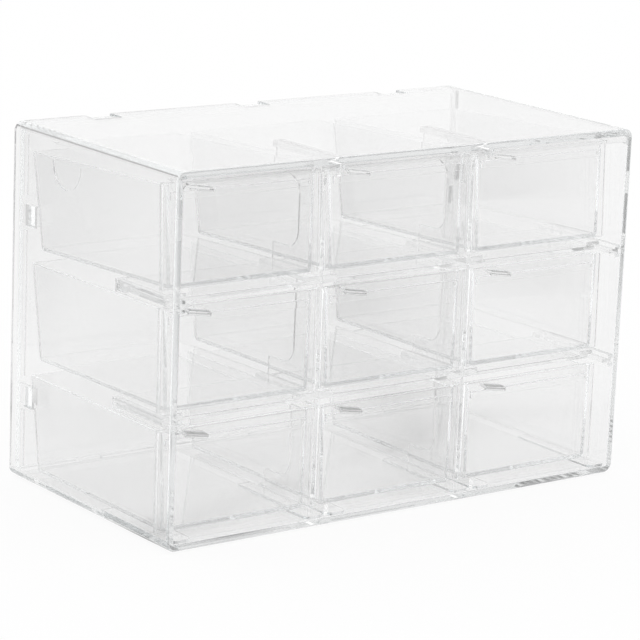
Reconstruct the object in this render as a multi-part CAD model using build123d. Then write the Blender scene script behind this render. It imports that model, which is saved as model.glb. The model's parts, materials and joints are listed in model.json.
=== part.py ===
from build123d import *
import os

# Nine-drawer desktop organiser of clear plastic: a one-piece sleeve with rounded long edges, a snap-in back
# panel, a front grid of two upright dividers and two shelves, and nine open-topped drawers on runners.
# Millimetres. +X to the right, +Y to the back, +Z up. The origin is the centre of the underside.

# Sleeve
WIDTH = 185.0
DEPTH = 97.0
HEIGHT = 121.0
WALL = 2.4
EDGE_RADIUS = 3.2
LINTEL_DROP = 1.95
LINTEL_DEPTH = 1.6
LINTEL_CORNER = 1.8
RIM_ROUND = 0.8
MOUTH_ROUND = 0.3
BACK_ROUND = 0.5

# Grid of cells
COLUMNS = 3
ROWS = 3
SHEET = 1.4
SHEET_ROUND = 0.3
RECESS = 8.7
GRID_DEPTH = 26.3
POST_DEPTH = 12.6
FOOT_HEIGHT = 7.6
FOOT_RADIUS = 6.0
EAR_FRONT = 1.2
EAR_SIZE = 4.0
FIT = 0.1

# Runners that the drawers slide on, and the guides that hold the edges of the grid
FLOOR_RUNNER_HEIGHT = 0.9
FLOOR_RUNNER_WIDTH = 7.4
FLOOR_RUNNER_FRONT = 0.6
FLOOR_RUNNER_BACK = 40.0
FLOOR_RUNNER_CORNER = 2.4
SHELF_RUNNER_HEIGHT = 1.4
SHELF_RUNNER_WIDTH = 5.6
GUIDE_THICK = 1.3
GUIDE_OUT = 2.1
GUIDE_FRONT = 0.4
GUIDE_BACK = 35.0

# Clips that lock the shelves into the side walls
CLIP_FRONT = 28.0
CLIP_LENGTH = 4.6
CLIP_OUT = 1.5
CLIP_GAP = 0.4

# Drawers. The shelves end under the front third of a drawer, so the upper rows tip back over their rear edge.
ROW_TILT = (0.0, 0.8, 2.3)
SIDE_GAP = 0.5
SLIDE_GAP = 0.3
LIFT_GAP = 1.85
PLATE_THICK = 1.8
PLATE_EDGE = 0.5
BODY_INSET = 1.4
BACK_GAP = 3.6
DRAFT_SIDE = 0.8
DRAFT_BACK = 4.2
RIM_DROP = 0.8
DRAWER_WALL = 1.3
DRAWER_ROUND = 0.35
FLOOR_THICK = 1.4
BODY_CORNER = 1.7
BODY_BOTTOM_RADIUS = 1.5

# Raised band along the top of each drawer front, with its moulding mark
BAND_TOP = 2.9
BAND_HEIGHT = 2.5
BAND_PROUD = 0.9
BAND_LEFT = 2.6
BAND_RIGHT = 3.1
MARK_DIAMETER = 1.1
MARK_DEEP = 0.5
MARK_FROM_END = 0.9

# Pull tab at the top left of each drawer front
TAB_LEFT = 6.5
TAB_WIDTH = 8.5
TAB_OUT = 4.0
TAB_TOP = 1.0
TAB_FALL = 0.5
TAB_THICK = 1.0
TAB_LIP = 1.3
TAB_LEAN = 9.5
TAB_ROOT = 0.4

# Back panel with its rim, tongues and snap arms
PANEL_INSET = 2.4
PANEL_THICK = 1.7
PANEL_FIT = 0.15
PANEL_RIM_WIDTH = 1.4
PANEL_RIM_DEPTH = 1.8
TONGUE_WIDTH = 9.4
TONGUE_LENGTH = 4.1
TONGUE_BELOW = 0.6
TONGUE_THICK = 1.5
NOTCH_GAP = 0.4
NOTCH_DEPTH = 7.5
ARM_HEIGHT = 6.6
ARM_THICK = 1.3
ARM_LENGTH = 9.8
ARM_FROM_ENDS = 29.8
ARM_CLEARANCE = 2.6
HOOK_LENGTH = 5.2
HOOK_OUT = 1.7
HOOK_GAP = 0.3

# Half-round relief near the top of the left side
RELIEF_RADIUS = 8.6
RELIEF_DEEP = 0.5
RELIEF_FROM_FRONT = 63.8
RELIEF_FROM_TOP = 8.6

FRONT = -DEPTH / 2
BACK = DEPTH / 2
INNER_WIDTH = WIDTH - 2 * WALL
CEILING = HEIGHT - WALL
CELL_WIDTH = (INNER_WIDTH - (COLUMNS - 1) * SHEET) / COLUMNS
CELL_HEIGHT = (CEILING - WALL - LINTEL_DROP - (ROWS - 1) * SHEET) / ROWS
GRID_FRONT = FRONT + RECESS
GRID_BACK = GRID_FRONT + GRID_DEPTH
LAP = GRID_FRONT + GRID_DEPTH / 2
PLATE_WIDTH = CELL_WIDTH - 2 * SIDE_GAP
PLATE_HEIGHT = CELL_HEIGHT - SHELF_RUNNER_HEIGHT - SLIDE_GAP - LIFT_GAP
PANEL_BACK = BACK - PANEL_INSET
PANEL_FRONT = PANEL_BACK - PANEL_THICK
BODY_DEPTH = PANEL_FRONT - BACK_GAP - GRID_FRONT
INNER_RADIUS = EDGE_RADIUS - WALL
CLEAR = 1.0


def block(x0, x1, y0, y1, z0, z1):
    """A box between two corners."""
    return Pos((x0 + x1) / 2, (y0 + y1) / 2, (z0 + z1) / 2) * Box(x1 - x0, y1 - y0, z1 - z0)


def cell_left(column):
    """X of the left side of a column, counted from 0 at the left."""
    return -INNER_WIDTH / 2 + column * (CELL_WIDTH + SHEET)


def cell_floor(row):
    """Z of the surface under a row, counted from 0 at the bottom."""
    return WALL + row * (CELL_HEIGHT + SHEET)


def divider_centre(index):
    return cell_left(index + 1) - SHEET / 2


def column_centre(column):
    return cell_left(column) + CELL_WIDTH / 2


def tube(width, height, radius):
    """A solid bar along Y with rounded long edges, centred on the case."""
    bar = extrude(RectangleRounded(width, height, radius), DEPTH)
    return Pos(0, BACK, HEIGHT / 2) * Rot(90, 0, 0) * bar


def floor_runner(x0, x1):
    """A low pad on the floor whose front corners are rounded."""
    y0 = FRONT + FLOOR_RUNNER_FRONT
    y1 = FRONT + FLOOR_RUNNER_BACK
    pad = block(x0, x1, y0, y1, WALL - FIT, WALL + FLOOR_RUNNER_HEIGHT)
    uprights = pad.edges().filter_by(Axis.Z).group_by(Axis.Y)[0]
    return fillet(uprights, FLOOR_RUNNER_CORNER)


def floor_runners():
    """Runners beside each side wall and on both sides of each divider."""
    runners = []
    for column in range(COLUMNS):
        left = cell_left(column) + (0 if column == 0 else FIT)
        right = cell_left(column) + CELL_WIDTH - (0 if column == COLUMNS - 1 else FIT)
        runners.append(floor_runner(left, left + FLOOR_RUNNER_WIDTH))
        runners.append(floor_runner(right - FLOOR_RUNNER_WIDTH, right))
    return runners


def side_guides():
    """Pairs of ribs on the side walls that hold the ends of the shelves."""
    ribs = []
    y0 = FRONT + GUIDE_FRONT
    y1 = FRONT + GUIDE_BACK
    for row in range(1, ROWS):
        top = cell_floor(row) + FIT
        bottom = cell_floor(row) - SHEET - FIT
        for z0, z1 in ((top, top + GUIDE_THICK), (bottom - GUIDE_THICK, bottom)):
            wall = INNER_WIDTH / 2
            ribs.append(block(-wall - FIT, -wall + GUIDE_OUT, y0, y1, z0, z1))
            ribs.append(block(wall - GUIDE_OUT, wall + FIT, y0, y1, z0, z1))
    return ribs


def ceiling_guides():
    """Pairs of ribs under the top that hold the upper edges of the dividers."""
    ribs = []
    for index in range(COLUMNS - 1):
        x = divider_centre(index)
        inner = SHEET / 2 + FIT
        for x0, x1 in ((x - inner - GUIDE_THICK, x - inner), (x + inner, x + inner + GUIDE_THICK)):
            y0 = FRONT + GUIDE_FRONT
            y1 = FRONT + GUIDE_BACK
            ribs.append(block(x0, x1, y0, y1, CEILING - LINTEL_DROP, CEILING + FIT))
    return ribs


def lintel():
    """The rib under the front edge of the top, left open where the dividers pass."""
    half = INNER_WIDTH / 2
    bar = block(-half - FIT, half + FIT, FRONT, FRONT + LINTEL_DEPTH, CEILING - LINTEL_DROP, CEILING + FIT)
    corner = Pos(half - LINTEL_CORNER / 2, FRONT + LINTEL_DEPTH / 2, CEILING - LINTEL_DROP - LINTEL_CORNER / 2)
    fill = corner * Box(LINTEL_CORNER, LINTEL_DEPTH, LINTEL_CORNER)
    hollow = Pos(half - LINTEL_CORNER, FRONT + LINTEL_DEPTH / 2, CEILING - LINTEL_DROP - LINTEL_CORNER)
    fill -= hollow * Rot(90, 0, 0) * Cylinder(LINTEL_CORNER, 2 * LINTEL_DEPTH)
    bar += fill
    bar += fill.mirror(Plane.YZ)
    for index in range(COLUMNS - 1):
        x = divider_centre(index)
        reach = SHEET / 2 + FIT
        bar -= block(x - reach, x + reach, FRONT - CLEAR, FRONT + LINTEL_DEPTH + CLEAR, 0, CEILING)
    return bar


def arm_levels():
    """Heights of the snap arms: one near each end of the side walls."""
    return (ARM_FROM_ENDS, HEIGHT - ARM_FROM_ENDS)


def sleeve_windows():
    """Openings in the sleeve: for the tongues and hooks of the back panel and for the shelf clips."""
    cuts = []
    for column in range(COLUMNS):
        x = column_centre(column)
        half = TONGUE_WIDTH / 2 + NOTCH_GAP
        cuts.append(block(x - half, x + half, BACK - NOTCH_DEPTH, BACK + CLEAR, CEILING - CLEAR, HEIGHT + CLEAR))
        cuts.append(block(x - half, x + half, BACK - NOTCH_DEPTH, BACK + CLEAR, -CLEAR, WALL + CLEAR))
    tip = PANEL_FRONT - ARM_LENGTH
    for z in arm_levels():
        half = ARM_HEIGHT / 2 + HOOK_GAP
        y0 = tip - HOOK_GAP
        y1 = tip + HOOK_LENGTH + HOOK_GAP
        cuts.append(block(-WIDTH, WIDTH, y0, y1, z - half, z + half))
    for row in range(1, ROWS):
        z = cell_floor(row) - SHEET / 2
        half = SHEET / 2 + CLIP_GAP
        y0 = FRONT + CLIP_FRONT - CLIP_GAP
        y1 = FRONT + CLIP_FRONT + CLIP_LENGTH + CLIP_GAP
        cuts.append(block(-WIDTH, WIDTH, y0, y1, z - half, z + half))
    return cuts


def relief():
    """The half-round relief on the left side."""
    disc = Rot(0, 90, 0) * Cylinder(RELIEF_RADIUS, 2 * RELIEF_DEEP)
    y = FRONT + RELIEF_FROM_FRONT
    z = HEIGHT - RELIEF_FROM_TOP
    disc = Pos(-WIDTH / 2, y, z) * disc
    reach = RELIEF_RADIUS + CLEAR
    return disc - block(-WIDTH, 0, y - reach, y + reach, z, z + reach)


def edges_at(shape, y):
    """The edges of a shape that lie in an upright plane across the case."""
    return shape.edges().filter_by_position(Axis.Y, y - FIT, y + FIT)


def mouth_edges(shell):
    """The edges around the open front, apart from the outer ones of the rim."""
    half = INNER_WIDTH / 2 + FIT
    edges = edges_at(shell, FRONT)
    return edges.filter_by_position(Axis.X, -half, half).filter_by_position(Axis.Z, WALL - FIT, CEILING + FIT)


def sleeve():
    """The case with its rounded rims, runners, guides, lintel, windows and relief."""
    shell = tube(WIDTH, HEIGHT, EDGE_RADIUS)
    shell = fillet(edges_at(shell, FRONT), RIM_ROUND)
    shell = fillet(edges_at(shell, BACK), BACK_ROUND)
    shell -= tube(INNER_WIDTH, HEIGHT - 2 * WALL, INNER_RADIUS)
    shell += lintel()
    shell = fillet(mouth_edges(shell), MOUTH_ROUND)
    for piece in floor_runners() + side_guides() + ceiling_guides():
        shell += piece
    for cut in sleeve_windows():
        shell -= cut
    return shell - relief()


def divider(index):
    """An upright sheet of the grid: a front post with a foot at each level and an ear at each end."""
    x = divider_centre(index)
    x0 = x - SHEET / 2
    x1 = x + SHEET / 2
    post_back = GRID_FRONT + POST_DEPTH
    sheet = block(x0, x1, GRID_FRONT, post_back, WALL, CEILING)
    for row in range(ROWS):
        z0 = cell_floor(row) + (FIT if row else 0)
        z1 = z0 + FOOT_HEIGHT
        sheet += block(x0, x1, post_back - CLEAR, GRID_BACK, z0, z1)
        sheet += web(x, post_back, z1, 1)
    sheet += block(x0, x1, post_back - CLEAR, GRID_BACK, CEILING - FOOT_HEIGHT, CEILING)
    sheet += web(x, post_back, CEILING - FOOT_HEIGHT, -1)
    ear_front = FRONT + EAR_FRONT
    sheet += block(x0, x1, ear_front, GRID_FRONT + CLEAR, WALL, WALL + EAR_SIZE)
    sheet += block(x0, x1, ear_front, GRID_FRONT + CLEAR, CEILING - EAR_SIZE, CEILING)
    for row in range(1, ROWS):
        z = cell_floor(row)
        sheet -= block(x0 - CLEAR, x1 + CLEAR, LAP, GRID_BACK + CLEAR, z - SHEET - FIT, z + FIT)
    return fillet(edges_at(sheet, GRID_FRONT).filter_by(Axis.Z), SHEET_ROUND)


def web(x, y, z, up):
    """The filled corner between a post and a foot, hollowed to a quarter round."""
    z0 = min(z, z + up * FOOT_RADIUS)
    z1 = max(z, z + up * FOOT_RADIUS)
    corner = block(x - SHEET / 2, x + SHEET / 2, y - FIT, y + FOOT_RADIUS, z0, z1)
    round_cut = Pos(x, y + FOOT_RADIUS, z + up * FOOT_RADIUS) * Rot(0, 90, 0) * Cylinder(FOOT_RADIUS, 3 * SHEET)
    return corner - round_cut


def shelf(row):
    """A level sheet of the grid under a row: slotted for the dividers, with runners, ears and clips."""
    top = cell_floor(row)
    bottom = top - SHEET
    half = INNER_WIDTH / 2 - FIT
    sheet = block(-half, half, GRID_FRONT, GRID_BACK, bottom, top)
    ear_front = FRONT + EAR_FRONT
    for side in (-1, 1):
        inner = side * (half - EAR_SIZE)
        outer = side * half
        sheet += block(min(inner, outer), max(inner, outer), ear_front, GRID_FRONT + CLEAR, bottom, top)
        tip = side * (half + CLIP_OUT)
        y0 = FRONT + CLIP_FRONT
        y1 = y0 + CLIP_LENGTH
        sheet += block(min(inner, tip), max(inner, tip), y0, y1, bottom, top)
    for index in range(COLUMNS - 1):
        x = divider_centre(index)
        reach = SHEET / 2 + FIT
        sheet -= block(x - reach, x + reach, GRID_FRONT - CLEAR, LAP + FIT, bottom - CLEAR, top + CLEAR)
    for column in range(COLUMNS):
        end_gap = GUIDE_OUT + FIT
        left = cell_left(column) + (end_gap if column == 0 else FIT)
        right = cell_left(column) + CELL_WIDTH - (end_gap if column == COLUMNS - 1 else FIT)
        width = SHELF_RUNNER_WIDTH
        sheet += block(left, left + width, GRID_FRONT, GRID_BACK, bottom, top + SHELF_RUNNER_HEIGHT)
        sheet += block(right - width, right, GRID_FRONT, GRID_BACK, bottom, top + SHELF_RUNNER_HEIGHT)
    return fillet(edges_at(sheet, GRID_FRONT).filter_by(Axis.X), SHEET_ROUND)


def panel_sheet(y0, y1):
    """A sheet that fills the back of the sleeve between two depths, with the sleeve's inner corners."""
    half = INNER_WIDTH / 2 - PANEL_FIT
    sheet = block(-half, half, y0, y1, WALL + PANEL_FIT, CEILING - PANEL_FIT)
    return fillet(sheet.edges().filter_by(Axis.Y), INNER_RADIUS)


def panel_rim():
    """The rim on the front of the back panel, left open beside the snap arms."""
    y0 = PANEL_FRONT - PANEL_RIM_DEPTH
    rim = panel_sheet(y0, PANEL_FRONT + FIT)
    inner = INNER_WIDTH / 2 - PANEL_FIT - PANEL_RIM_WIDTH
    z0 = WALL + PANEL_FIT + PANEL_RIM_WIDTH
    rim -= block(-inner, inner, y0 - CLEAR, PANEL_FRONT + CLEAR, z0, HEIGHT - z0)
    for z in arm_levels():
        reach = ARM_HEIGHT / 2 + ARM_CLEARANCE
        rim -= block(-WIDTH, WIDTH, y0 - CLEAR, PANEL_FRONT + CLEAR, z - reach, z + reach)
    return rim


def snap_arm(side, z):
    """An arm that reaches forward along a side wall, with a wedge hook for the window in that wall."""
    outer = INNER_WIDTH / 2 - PANEL_FIT
    tip = PANEL_FRONT - ARM_LENGTH
    arm = block(outer - ARM_THICK, outer, tip, PANEL_FRONT + FIT, z - ARM_HEIGHT / 2, z + ARM_HEIGHT / 2)
    points = [(outer - FIT, tip), (outer, tip), (outer + HOOK_OUT, tip + HOOK_LENGTH)]
    points += [(outer - FIT, tip + HOOK_LENGTH)]
    hook = extrude(make_face(Polyline(*points, close=True)), ARM_HEIGHT)
    arm += Pos(0, 0, z - ARM_HEIGHT / 2) * hook
    return arm if side > 0 else arm.mirror(Plane.YZ)


def tongue(column, up):
    """A tongue that turns forward from the panel's edge into a notch of the top or the floor."""
    x = column_centre(column)
    x0 = x - TONGUE_WIDTH / 2
    x1 = x + TONGUE_WIDTH / 2
    outer = HEIGHT - TONGUE_BELOW
    leaf = block(x0, x1, PANEL_BACK - TONGUE_LENGTH, PANEL_BACK, outer - TONGUE_THICK, outer)
    stem = block(x0, x1, PANEL_FRONT, PANEL_BACK, CEILING - CLEAR, outer)
    piece = leaf + stem
    if up:
        return piece
    return Pos(0, 0, HEIGHT) * piece.mirror(Plane.XY)


def back_panel():
    panel = panel_sheet(PANEL_FRONT, PANEL_BACK) + panel_rim()
    for z in arm_levels():
        panel += snap_arm(-1, z)
        panel += snap_arm(1, z)
    for column in range(COLUMNS):
        panel += tongue(column, True)
        panel += tongue(column, False)
    return panel


def tapered(inset, back_gap, z0, z1, corner):
    """A block that narrows downward, from behind the front plate's face to the back of the drawer."""
    rim = PLATE_HEIGHT - RIM_DROP
    sections = []
    for z in (z0, z1):
        share = 1 - z / rim
        x0 = BODY_INSET + inset + DRAFT_SIDE * share
        x1 = PLATE_WIDTH - x0
        y0 = -BODY_CORNER * 2
        y1 = BODY_DEPTH - back_gap - DRAFT_BACK * share
        outline = RectangleRounded(x1 - x0, y1 - y0, corner)
        sections.append(Pos((x0 + x1) / 2, (y0 + y1) / 2, z) * outline)
    return loft(sections)


def drawer_body():
    """The open-topped box of a drawer, behind its front plate."""
    rim = PLATE_HEIGHT - RIM_DROP
    outer = tapered(0, 0, 0, rim, BODY_CORNER)
    outer = fillet(outer.faces().sort_by(Axis.Z)[0].edges(), BODY_BOTTOM_RADIUS)
    inner_corner = BODY_CORNER - DRAWER_WALL
    inner = tapered(DRAWER_WALL, DRAWER_WALL, FLOOR_THICK, PLATE_HEIGHT + CLEAR, inner_corner)
    inner = fillet(inner.faces().sort_by(Axis.Z)[0].edges(), BODY_BOTTOM_RADIUS - DRAWER_WALL)
    inner -= block(-CLEAR, PLATE_WIDTH + CLEAR, -BODY_DEPTH, PLATE_THICK, -CLEAR, 2 * PLATE_HEIGHT)
    body = outer - inner
    body -= block(-CLEAR, PLATE_WIDTH + CLEAR, -BODY_DEPTH, PLATE_THICK / 2, -CLEAR, 2 * PLATE_HEIGHT)
    rim_edges = body.faces().sort_by(Axis.Z)[-1].edges()
    return fillet(rim_edges.filter_by_position(Axis.Y, PLATE_THICK, BODY_DEPTH), DRAWER_ROUND)


def front_plate():
    """The flat front of a drawer with its raised band and moulding mark."""
    plate = block(0, PLATE_WIDTH, 0, PLATE_THICK, 0, PLATE_HEIGHT)
    plate = fillet(plate.faces().sort_by(Axis.Y)[0].edges(), PLATE_EDGE)
    top = PLATE_HEIGHT - BAND_TOP
    right = PLATE_WIDTH - BAND_RIGHT
    band = block(BAND_LEFT, right, -BAND_PROUD, FIT, top - BAND_HEIGHT, top)
    band = fillet(band.faces().sort_by(Axis.Y)[0].edges(), BAND_PROUD / 3)
    plate += band
    mark = Pos(right - MARK_FROM_END - MARK_DIAMETER / 2, -BAND_PROUD, top - BAND_HEIGHT / 2)
    plate -= mark * Rot(90, 0, 0) * Cylinder(MARK_DIAMETER / 2, 2 * MARK_DEEP)
    return plate


def pull_tab():
    """A thin ledge that slopes down to a turned lip, leaning a little to the right."""
    points = [(TAB_ROOT, 0), (-TAB_OUT, -TAB_FALL), (-TAB_OUT, -TAB_FALL - TAB_LIP)]
    points += [(-TAB_OUT + TAB_THICK, -TAB_FALL - TAB_LIP), (-TAB_OUT + TAB_THICK, -TAB_FALL - TAB_THICK + FIT)]
    points += [(TAB_ROOT, -TAB_THICK)]
    section = make_face(Plane.YZ * Polyline(*points, close=True))
    ledge = extrude(section, TAB_WIDTH / 2, both=True)
    centre = Pos(TAB_LEFT + TAB_WIDTH / 2, 0, PLATE_HEIGHT - TAB_TOP)
    return centre * Rot(0, TAB_LEAN, 0) * ledge


def drawer():
    return drawer_body() + front_plate() + pull_tab()


def placed_drawer(shape, column, row):
    """The drawer in its cell, tipped back about the rear edge of the shelf by the tilt of its row."""
    x = cell_left(column) + SIDE_GAP
    runner = SHELF_RUNNER_HEIGHT if row else FLOOR_RUNNER_HEIGHT
    rear_edge = Pos(x, GRID_BACK, cell_floor(row) + runner + SLIDE_GAP)
    return rear_edge * Rot(-ROW_TILT[row], 0, 0) * Pos(0, -GRID_DEPTH, 0) * shape


def main():
    os.makedirs("parts", exist_ok=True)
    nodes = {"sleeve": sleeve(), "back_panel": back_panel()}
    for index in range(COLUMNS - 1):
        nodes[f"divider_{index + 1}"] = divider(index)
    for row in range(1, ROWS):
        nodes[f"shelf_{row}"] = shelf(row)
    one_drawer = drawer()
    for row in range(ROWS):
        for column in range(COLUMNS):
            nodes[f"drawer_row{row + 1}_col{column + 1}"] = placed_drawer(one_drawer, column, row)
    for name, shape in nodes.items():
        export_step(shape, f"parts/{name}.step")
        box = shape.bounding_box()
        print(name, "solids", len(shape.solids()), "size", [round(v, 2) for v in box.size])


main()
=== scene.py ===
# %% [markdown]
# # A clear drawer organiser in Blender
# The object is a small desktop cabinet of clear plastic: a sleeve, a back panel, a grid of dividers and
# shelves, and nine drawers. It has no paint, no print and no metal, so all of its looks come from how
# clear plastic bends, loses and mirrors light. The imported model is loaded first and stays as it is.
# Everything here is in metres, with the origin at the centre of the underside, +X to the right, +Y to
# the back and +Z up.

# %% Load the frame
import json
import math

import bpy
from mathutils import Matrix, Vector


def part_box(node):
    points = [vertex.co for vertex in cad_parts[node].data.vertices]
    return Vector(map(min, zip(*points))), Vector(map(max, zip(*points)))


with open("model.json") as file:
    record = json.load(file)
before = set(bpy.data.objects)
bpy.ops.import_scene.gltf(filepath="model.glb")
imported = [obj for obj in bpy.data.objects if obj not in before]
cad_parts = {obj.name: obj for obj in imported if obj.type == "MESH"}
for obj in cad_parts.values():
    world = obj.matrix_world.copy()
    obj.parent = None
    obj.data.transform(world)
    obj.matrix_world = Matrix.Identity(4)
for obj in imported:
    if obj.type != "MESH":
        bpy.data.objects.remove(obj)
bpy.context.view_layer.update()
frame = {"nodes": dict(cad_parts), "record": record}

nodes = frame["nodes"]

# %% [markdown]
# ## The camera
# The camera was fitted to the corners of the case. A long lens stands well back, a little above the
# top, and looks at the front from the left. It also leans by two degrees, which is why the verticals
# are not upright. A camera looks along its own -Z, so its three axes are worked out from three angles
# and written into a matrix.

# %% Camera
CAMERA_PLACE = Vector((-0.5861, -0.7844, 0.2936))
CAMERA_YAW = math.radians(36.75)
CAMERA_PITCH = math.radians(13.75)
CAMERA_ROLL = math.radians(2.32)
CAMERA_LENS = 167.54
SENSOR_WIDTH = 36.0


def camera_axes(yaw, pitch, roll):
    """The right, up and forward directions of a camera that is turned, tipped down and then leaned."""
    level = math.cos(pitch)
    forward = Vector((math.sin(yaw) * level, math.cos(yaw) * level, -math.sin(pitch)))
    right = Vector((math.cos(yaw), -math.sin(yaw), 0.0))
    up = right.cross(forward)
    leaned_right = math.cos(roll) * right + math.sin(roll) * up
    leaned_up = math.cos(roll) * up - math.sin(roll) * right
    return leaned_right, leaned_up, forward


right, up, forward = camera_axes(CAMERA_YAW, CAMERA_PITCH, CAMERA_ROLL)
camera_data = bpy.data.cameras.new("camera")
camera_data.lens = CAMERA_LENS
camera_data.sensor_width = SENSOR_WIDTH
camera = bpy.data.objects.new("camera", camera_data)
bpy.context.scene.collection.objects.link(camera)
turn = Matrix((right, up, -forward)).transposed().to_4x4()
camera.matrix_world = Matrix.Translation(CAMERA_PLACE) @ turn
bpy.context.scene.camera = camera
print("camera:", CAMERA_LENS, "mm lens,", round(CAMERA_PLACE.length, 2), "m away")

# %% [markdown]
# ## Reading node trees
# Every shader below is a tree of nodes. Three small helpers keep those trees short to read: one adds a
# node and sets its options, one joins an output to an input, and one does a step of arithmetic.

# %% Helpers for node trees
def add_node(tree, kind, **options):
    """A new node of one kind, with its options set."""
    node = tree.nodes.new(kind)
    for name, value in options.items():
        setattr(node, name, value)
    return node


def join(tree, output, target):
    """A link from an output to an input."""
    tree.links.new(output, target)


def maths(tree, operation, first, second=None):
    """A math node fed by sockets or by plain numbers. Returns its output."""
    node = add_node(tree, "ShaderNodeMath", operation=operation)
    for socket, value in zip(node.inputs, (first, second)):
        if isinstance(value, bpy.types.NodeSocket):
            join(tree, value, socket)
        elif value is not None:
            socket.default_value = value
    return node.outputs[0]


print("helpers ready")

# %% [markdown]
# ## The room
# Clear plastic has no colour of its own: it shows what stands around it. A photographer puts such an
# object on a white sweep, so that its walls are pale, and the darker parts of the room then draw its
# edges in grey. One way to get those greys is to model lamps and dark cards. Here the room is worked
# out from a ray's direction instead, because that adds no objects and costs no time. It has two parts:
# a grey band on the wall, which comes with the world below, and four white panels round the table with
# a dim gap between each two. The gaps draw the upright edges, which a plain white room leaves blank. A
# gap has wide soft sides and a narrow dark middle, so two ramps are multiplied. World and floor both
# show the panels, so they are a node group that turns a direction into a brightness.

# %% Panels around the table
PANELS = 4
SOFT_GAP = {"From Min": -1.0, "From Max": -0.4, "To Min": 0.6}
DARK_GAP = {"From Min": -1.0, "From Max": -0.9, "To Min": 0.45}

panels = bpy.data.node_groups.new("white_panels", "ShaderNodeTree")
panels.interface.new_socket(name="Direction", in_out="INPUT", socket_type="NodeSocketVector")
panels.interface.new_socket(name="Brightness", in_out="OUTPUT", socket_type="NodeSocketFloat")
group_in = add_node(panels, "NodeGroupInput")
group_out = add_node(panels, "NodeGroupOutput")
split = add_node(panels, "ShaderNodeSeparateXYZ")
join(panels, group_in.outputs["Direction"], split.inputs[0])
bearing = maths(panels, "ARCTAN2", split.outputs["X"], split.outputs["Y"])
swing = maths(panels, "SINE", maths(panels, "MULTIPLY", bearing, PANELS))
brightness = 1.0
for gap in (SOFT_GAP, DARK_GAP):
    ramp = add_node(panels, "ShaderNodeMapRange", interpolation_type="SMOOTHSTEP")
    for name, value in gap.items():
        ramp.inputs[name].default_value = value
    join(panels, swing, ramp.inputs["Value"])
    brightness = maths(panels, "MULTIPLY", ramp.outputs["Result"], brightness)
join(panels, brightness, group_out.inputs["Brightness"])
print("panels:", PANELS, "with", len(panels.nodes), "nodes")

# %% [markdown]
# ## Which rays see the panels
# If every ray saw the gaps, the background and the view straight through the walls would show grey
# stripes. So only rays that were mirrored at least once see them. Light Path counts the mirrorings in
# whole numbers, and a half step lies safely between two of them.

# %% Panels for mirrored rays
HALF_STEP = 0.5


def panel_light(tree, direction):
    """The brightness of the panels for rays that were mirrored at least once, and white for all others."""
    group = add_node(tree, "ShaderNodeGroup", node_tree=panels)
    join(tree, direction, group.inputs["Direction"])
    path = add_node(tree, "ShaderNodeLightPath")
    mirrored = maths(tree, "GREATER_THAN", path.outputs["Glossy Depth"], HALF_STEP)
    light = add_node(tree, "ShaderNodeMix", data_type="FLOAT")
    light.inputs["A"].default_value = 1.0
    join(tree, mirrored, light.inputs["Factor"])
    join(tree, group.outputs["Brightness"], light.inputs["B"])
    return light.outputs["Result"]


print("panels: seen by rays that were mirrored once or more")

# %% [markdown]
# ## The world
# A ray's height above the horizon picks its shade from a ramp: white up to a little above the horizon,
# a grey wall above that, and a white ceiling. Only rays that leave the plastic straight for the room
# see the wall. The camera and the light that falls on the floor see plain white, so the background
# stays clean and the object is lit at a plain level.

# %% World
WORLD_WHITE = (1.0, 1.0, 1.0, 1.0)
WALL_GREY = (0.5, 0.5, 0.5, 1.0)
WALL_START = 0.30
WALL_FULL = 0.48
WALL_LEAVE = 0.62
CEILING_START = 0.80

world = bpy.data.worlds.new("studio")
bpy.context.scene.world = world
world.use_nodes = True
tree = world.node_tree
tree.nodes.clear()
direction = add_node(tree, "ShaderNodeTexCoord").outputs["Generated"]
split = add_node(tree, "ShaderNodeSeparateXYZ")
room = add_node(tree, "ShaderNodeValToRGB")
room.color_ramp.interpolation = "EASE"
for element, position in zip(room.color_ramp.elements, (WALL_START, CEILING_START)):
    element.position = position
    element.color = WORLD_WHITE
for position in (WALL_FULL, WALL_LEAVE):
    room.color_ramp.elements.new(position).color = WALL_GREY
join(tree, direction, split.inputs[0])
join(tree, split.outputs["Z"], room.inputs["Fac"])
print("world: grey wall between", WALL_START, "and", CEILING_START, "of the way up")

# %% Rays that see the room
path = add_node(tree, "ShaderNodeLightPath")
mirror_path = maths(tree, "MAXIMUM", path.outputs["Is Glossy Ray"], path.outputs["Is Transmission Ray"])
no_floor = maths(tree, "LESS_THAN", path.outputs["Diffuse Depth"], HALF_STEP)
sees_room = maths(tree, "MULTIPLY", mirror_path, no_floor)
choose = add_node(tree, "ShaderNodeMix", data_type="RGBA")
choose.inputs["A"].default_value = WORLD_WHITE
background = add_node(tree, "ShaderNodeBackground")
output = add_node(tree, "ShaderNodeOutputWorld")
join(tree, sees_room, choose.inputs["Factor"])
join(tree, room.outputs["Color"], choose.inputs["B"])
join(tree, choose.outputs["Result"], background.inputs["Color"])
join(tree, panel_light(tree, direction), background.inputs["Strength"])
join(tree, background.outputs[0], output.inputs["Surface"])
print("world:", len(tree.nodes), "nodes")

# %% [markdown]
# ## The floor
# A wide matt plane, almost white. It could curve up at the back as a real sweep does, but the camera
# looks down and never sees the plane's far edge, so a plane is enough. It lies half a millimetre under
# the object, so that the two never share a surface.

# %% Floor
FLOOR_REACH = 6.0
FLOOR_GAP = 0.0005

bpy.ops.object.select_all(action="DESELECT")
bpy.ops.mesh.primitive_plane_add(size=2 * FLOOR_REACH, location=(0, 0, -FLOOR_GAP))
floor = bpy.context.object
floor.name = "floor"
print("floor:", 2 * FLOOR_REACH, "m wide")

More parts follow.
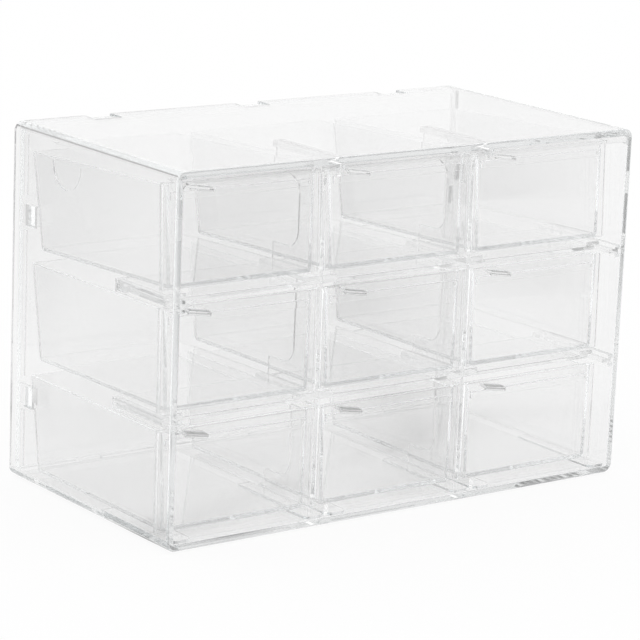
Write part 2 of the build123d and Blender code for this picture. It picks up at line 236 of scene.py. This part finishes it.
# %% [markdown]
# ## The floor's paint
# In the photograph the sweep is so well lit that the shadow all but drowns. So most of what the camera
# sees of the floor is plain white, and the rest is its matt paint, which keeps the shadow. What shows
# through the plastic has less of that white, because there the photograph has the floor's own grey.
# Mirrored rays find the panels and their gaps on the floor too, fanned out from under the object. The
# fan is squeezed along X, by an amount that was set against the photograph.

# %% Floor paint
FLOOR_WHITE = (0.985, 0.985, 0.985, 1.0)
FLOOR_GLOW = 0.93
FLOOR_GLOW_THROUGH = 0.82
PANEL_SQUEEZE = (0.78, 1.0, 1.0)

floor_paint = bpy.data.materials.new("floor_paint")
floor_paint.use_nodes = True
tree = floor_paint.node_tree
matt = tree.nodes["Principled BSDF"]
matt.inputs["Base Color"].default_value = FLOOR_WHITE
matt.inputs["Roughness"].default_value = 1.0
matt.inputs["Specular IOR Level"].default_value = 0.0
path = add_node(tree, "ShaderNodeLightPath")
mirror_path = maths(tree, "MAXIMUM", path.outputs["Is Glossy Ray"], path.outputs["Is Transmission Ray"])
glow_seen = maths(tree, "MULTIPLY", path.outputs["Is Camera Ray"], FLOOR_GLOW)
glow = maths(tree, "ADD", glow_seen, maths(tree, "MULTIPLY", mirror_path, FLOOR_GLOW_THROUGH))
white = add_node(tree, "ShaderNodeEmission")
squeeze = add_node(tree, "ShaderNodeMapping")
squeeze.inputs["Scale"].default_value = PANEL_SQUEEZE
join(tree, add_node(tree, "ShaderNodeTexCoord").outputs["Object"], squeeze.inputs["Vector"])
join(tree, panel_light(tree, squeeze.outputs["Vector"]), white.inputs["Strength"])
blend = add_node(tree, "ShaderNodeMixShader")
join(tree, glow, blend.inputs["Fac"])
join(tree, matt.outputs[0], blend.inputs[1])
join(tree, white.outputs[0], blend.inputs[2])
join(tree, blend.outputs[0], tree.nodes["Material Output"].inputs["Surface"])
floor.data.materials.append(floor_paint)
print("floor paint:", len(tree.nodes), "nodes")

# %% [markdown]
# ## How light travels in the plastic
# A ray that looks through this object crosses up to sixteen faces. A ray that enters a sheet by its
# edge is caught between the two faces, and is mirrored dozens of times before it finds a way out. Each
# crossing and each mirroring counts as a bounce, so the limits for both, and the limit for all bounces
# together, are raised, or every edge would turn black.

# %% Light paths
LIGHT_BOUNCES = 40

scene = bpy.context.scene
scene.cycles.max_bounces = LIGHT_BOUNCES
scene.cycles.transmission_bounces = LIGHT_BOUNCES
scene.cycles.glossy_bounces = LIGHT_BOUNCES
print("bounces:", LIGHT_BOUNCES)

# %% [markdown]
# ## The skin of moulded plastic
# A polished mould leaves a surface that is smooth but never quite flat. Three things can be seen on it:
# a slow waviness where the plastic shrank as it cooled, hairline scuffs from use, and a little dust.
# The pull tabs also have a finely frosted top, which gives a finger some hold. That top is also darkened
# with painted shade, so that the tabs stand out as small grey ledges. All this could be painted on, but a
# few noises give it on every side and at any distance. The four plastics here have it in different
# amounts, so it is one node group with named inputs. The group puts out a height for a Bump node, a
# roughness and a tint. The shader itself stays in each material.

# %% Skin group
NUMBER_INPUTS = {
    "Wave Size": 0.03,
    "Wave Depth": 1.0,
    "Scuff Size": 0.012,
    "Scuff Amount": 0.5,
    "Dust Amount": 0.5,
    "Polish": 0.02,
    "Clearness": 0.981,
    "Grip Front": -1.0,
    "Grip Frost": 0.0,
}

skin = bpy.data.node_groups.new("moulded_skin", "ShaderNodeTree")
for name, value in NUMBER_INPUTS.items():
    socket = skin.interface.new_socket(name=name, in_out="INPUT", socket_type="NodeSocketFloat")
    socket.default_value = value
skin.interface.new_socket(name="Tint", in_out="OUTPUT", socket_type="NodeSocketColor")
skin.interface.new_socket(name="Roughness", in_out="OUTPUT", socket_type="NodeSocketFloat")
skin.interface.new_socket(name="Height", in_out="OUTPUT", socket_type="NodeSocketFloat")
group_in = add_node(skin, "NodeGroupInput")
group_out = add_node(skin, "NodeGroupOutput")
place = add_node(skin, "ShaderNodeTexCoord").outputs["Object"]
print("skin group inputs:", len(NUMBER_INPUTS))

# %% [markdown]
# ## Waves and scuffs
# The waviness is a soft noise a few centimetres across, used as a height. The scuffs are a second
# noise, drawn out into hairlines by a Mapping node and cut off so that only its peaks are left. They
# are turned away from the edges of the case, because hands don't wipe along its edges.

# %% Waves and scuffs
WAVE_DETAIL = 1.0
SCUFF_DETAIL = 2.0
SCUFF_TURN = (0.0, math.radians(12.0), math.radians(31.0))
SCUFF_STRETCH = (1.0, 14.0, 14.0)
SCUFF_START = 0.66
SCUFF_FULL = 0.72

wave = add_node(skin, "ShaderNodeTexNoise")
wave.inputs["Detail"].default_value = WAVE_DETAIL
join(skin, place, wave.inputs["Vector"])
join(skin, maths(skin, "DIVIDE", 1.0, group_in.outputs["Wave Size"]), wave.inputs["Scale"])
height = maths(skin, "MULTIPLY", wave.outputs["Fac"], group_in.outputs["Wave Depth"])

stretch = add_node(skin, "ShaderNodeMapping")
stretch.inputs["Rotation"].default_value = SCUFF_TURN
stretch.inputs["Scale"].default_value = SCUFF_STRETCH
scratch = add_node(skin, "ShaderNodeTexNoise")
scratch.inputs["Detail"].default_value = SCUFF_DETAIL
join(skin, place, stretch.inputs["Vector"])
join(skin, stretch.outputs["Vector"], scratch.inputs["Vector"])
join(skin, maths(skin, "DIVIDE", 1.0, group_in.outputs["Scuff Size"]), scratch.inputs["Scale"])
scuff = add_node(skin, "ShaderNodeMapRange")
scuff.inputs["From Min"].default_value = SCUFF_START
scuff.inputs["From Max"].default_value = SCUFF_FULL
join(skin, scratch.outputs["Fac"], scuff.inputs["Value"])
scuffs = maths(skin, "MULTIPLY", scuff.outputs["Result"], group_in.outputs["Scuff Amount"])
print("waves and scuffs:", len(skin.nodes), "nodes so far")

# %% [markdown]
# ## Dust, frost and painted shade
# Dust settles on what faces up. It is a field of small dots, one in each cell of a Voronoi pattern. The
# frosted tops of the pull tabs, which also get painted shade, are found by their place: they face up and
# stand out in front of the drawers. The input Grip Front says how far to the front that is, and its
# default lies in front of everything.

# %% Dust, frost and painted shade
DUST_SIZE = 0.0016
DUST_DOT = 0.10
DUST_LEVEL = 0.8
GRIP_LEVEL = 0.5

speck = add_node(skin, "ShaderNodeTexVoronoi")
speck.inputs["Scale"].default_value = 1.0 / DUST_SIZE
join(skin, place, speck.inputs["Vector"])
speck_mask = maths(skin, "LESS_THAN", speck.outputs["Distance"], DUST_DOT)
facing = add_node(skin, "ShaderNodeSeparateXYZ")
join(skin, add_node(skin, "ShaderNodeNewGeometry").outputs["Normal"], facing.inputs[0])
lying = maths(skin, "GREATER_THAN", facing.outputs["Z"], DUST_LEVEL)
dust = maths(skin, "MULTIPLY", maths(skin, "MULTIPLY", speck_mask, lying), group_in.outputs["Dust Amount"])

spot = add_node(skin, "ShaderNodeSeparateXYZ")
join(skin, place, spot.inputs[0])
in_front = maths(skin, "LESS_THAN", spot.outputs["Y"], group_in.outputs["Grip Front"])
# Tops of the pull tabs: frost as roughness, and painted shade as a darker tint.
tab_frost_and_painted_shade = maths(skin, "MULTIPLY", in_front, maths(skin, "GREATER_THAN", facing.outputs["Z"], GRIP_LEVEL))
print("dust and frost:", len(skin.nodes), "nodes so far")

# %% [markdown]
# ## What the skin puts out
# Scuffs, dust and frost each make the surface rougher. Scuffs and dust also take a little of its light,
# and the tops of the pull tabs are greyed with painted shade. Their roughness is added to the polish,
# and their shade is taken from the clearness.

# %% What the skin puts out
SCUFF_ROUGH = 0.10
DUST_ROUGH = 0.35
WORN_SHADE = 0.025
# Painted shade: how much the tops of the pull tabs are greyed, so that they show as grey ledges.
GRIP_PAINTED_SHADE = 0.22

rough = maths(skin, "ADD", group_in.outputs["Polish"], maths(skin, "MULTIPLY", scuffs, SCUFF_ROUGH))
rough = maths(skin, "ADD", rough, maths(skin, "MULTIPLY", dust, DUST_ROUGH))
rough = maths(skin, "ADD", rough, maths(skin, "MULTIPLY", tab_frost_and_painted_shade, group_in.outputs["Grip Frost"]))
wear_and_painted_shade = maths(skin, "MULTIPLY", maths(skin, "MAXIMUM", scuffs, dust), WORN_SHADE)
# Painted shade on the tab tops is added to the real darkening from scuffs and dust.
wear_and_painted_shade = maths(skin, "ADD", wear_and_painted_shade, maths(skin, "MULTIPLY", tab_frost_and_painted_shade, GRIP_PAINTED_SHADE))
tint = maths(skin, "MULTIPLY", group_in.outputs["Clearness"], maths(skin, "SUBTRACT", 1.0, wear_and_painted_shade))
join(skin, tint, group_out.inputs["Tint"])
join(skin, rough, group_out.inputs["Roughness"])
join(skin, height, group_out.inputs["Height"])
print("skin group:", len(skin.nodes), "nodes")

# %% [markdown]
# ## Light that is caught
# A few rays are still inside a sheet when the bounces run out, and would show as black specks and
# lines. In a real sheet that light leaks out by scratches and rounded corners, and carries some of the
# room's light with it. More bounces cost much time and still leave some rays. So just those rays are
# given a soft grey, as an emission that is nought for every other ray. It stands in for the leak.

# %% Caught light
LEAKED_LIGHT = (0.63, 0.63, 0.63, 1.0)
NO_LIGHT = (0.0, 0.0, 0.0, 1.0)


def leak_caught_light(material, shader):
    """Lets a plastic glow softly for rays that have used up all their bounces, and for no others."""
    tree = material.node_tree
    path = add_node(tree, "ShaderNodeLightPath")
    leak = add_node(tree, "ShaderNodeMix", data_type="RGBA")
    leak.inputs["A"].default_value = NO_LIGHT
    leak.inputs["B"].default_value = LEAKED_LIGHT
    caught = maths(tree, "GREATER_THAN", path.outputs["Ray Depth"], LIGHT_BOUNCES - HALF_STEP)
    join(tree, caught, leak.inputs["Factor"])
    join(tree, leak.outputs["Result"], shader.inputs["Emission Color"])
    shader.inputs["Emission Strength"].default_value = 1.0
    material.cycles.emission_sampling = "NONE"


print("caught rays get", LEAKED_LIGHT[0], "of white")

# %% [markdown]
# ## The plastic itself
# General purpose polystyrene is the usual material: very clear, glossy, and with a high refractive
# index that gives the edges their strong lines. Across a thin wall it takes almost nothing from the
# light, but a ray that runs along a sheet goes through centimetres of it, and comes out grey. That is
# why the edges of a clear box are darker than its faces. A Volume Absorption node makes this happen by
# itself, with no painted edges.

# %% Clear plastic
PLASTIC_IOR = 1.57
PLASTIC_SHADE = (0.46, 0.50, 0.51, 1.0)
PLASTIC_DENSITY = 2.5
BUMP_REACH = 0.000003


def clear_plastic(name, **skin_values):
    """A clear plastic whose skin takes its values from the group's named inputs."""
    material = bpy.data.materials.new(name)
    material.use_nodes = True
    tree = material.node_tree
    shader = tree.nodes["Principled BSDF"]
    shader.inputs["Transmission Weight"].default_value = 1.0
    shader.inputs["IOR"].default_value = PLASTIC_IOR
    surface = add_node(tree, "ShaderNodeGroup", node_tree=skin)
    for key, value in skin_values.items():
        surface.inputs[key.replace("_", " ").title()].default_value = value
    bump = add_node(tree, "ShaderNodeBump")
    bump.inputs["Distance"].default_value = BUMP_REACH
    join(tree, surface.outputs["Height"], bump.inputs["Height"])
    join(tree, bump.outputs["Normal"], shader.inputs["Normal"])
    join(tree, surface.outputs["Tint"], shader.inputs["Base Color"])
    join(tree, surface.outputs["Roughness"], shader.inputs["Roughness"])
    leak_caught_light(material, shader)
    absorption = add_node(tree, "ShaderNodeVolumeAbsorption")
    absorption.inputs["Color"].default_value = PLASTIC_SHADE
    absorption.inputs["Density"].default_value = PLASTIC_DENSITY
    join(tree, absorption.outputs[0], tree.nodes["Material Output"].inputs["Volume"])
    return material


print("plastic: index", PLASTIC_IOR, "density", PLASTIC_DENSITY)

# %% [markdown]
# ## Four plastics for fifteen pieces
# The sleeve is handled most and stands outside, so it has the most scuffs and dust and is the least
# clear. Its waves are long, because its walls are large. The back panel is a little less polished. The
# grid's sheets are small, and so are their waves. The drawers rub on their runners, and their tabs are
# frosted, with painted shade on their tops. Each node takes the plastic that its material slot in the
# record names.

# %% Four plastics
TAB_REACH = 0.003

grip_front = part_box("drawer_row1_col1")[0][1] + TAB_REACH
skins = {
    "clear_sleeve": {"clearness": 0.95, "wave_size": 0.045, "wave_depth": 0.4, "scuff_amount": 0.8,
                     "dust_amount": 0.6},
    "clear_panel": {"wave_size": 0.035, "wave_depth": 0.5, "scuff_amount": 0.4, "polish": 0.03},
    "clear_grid": {"wave_size": 0.02, "wave_depth": 0.3, "scuff_amount": 0.5, "scuff_size": 0.006},
    # The drawers' tab tops get frost and painted shade.
    "clear_drawer": {"wave_size": 0.025, "wave_depth": 0.4, "scuff_amount": 0.5, "scuff_size": 0.008,
                     "grip_front": grip_front, "grip_frost": 0.3},
}
plastics = {slot: clear_plastic(slot, **values) for slot, values in skins.items()}
slot_of = {part["node"]: part["material_slot"] for part in frame["record"]["subparts"]}
for name, node in nodes.items():
    node.data.materials.clear()
    node.data.materials.append(plastics[slot_of[name]])
print("plastics:", len(plastics), "on", len(nodes), "nodes")

# %% [markdown]
# ## The end
# The Standard view transform shows colours as they were written.

# %% Finish
bpy.context.scene.view_settings.view_transform = "Standard"
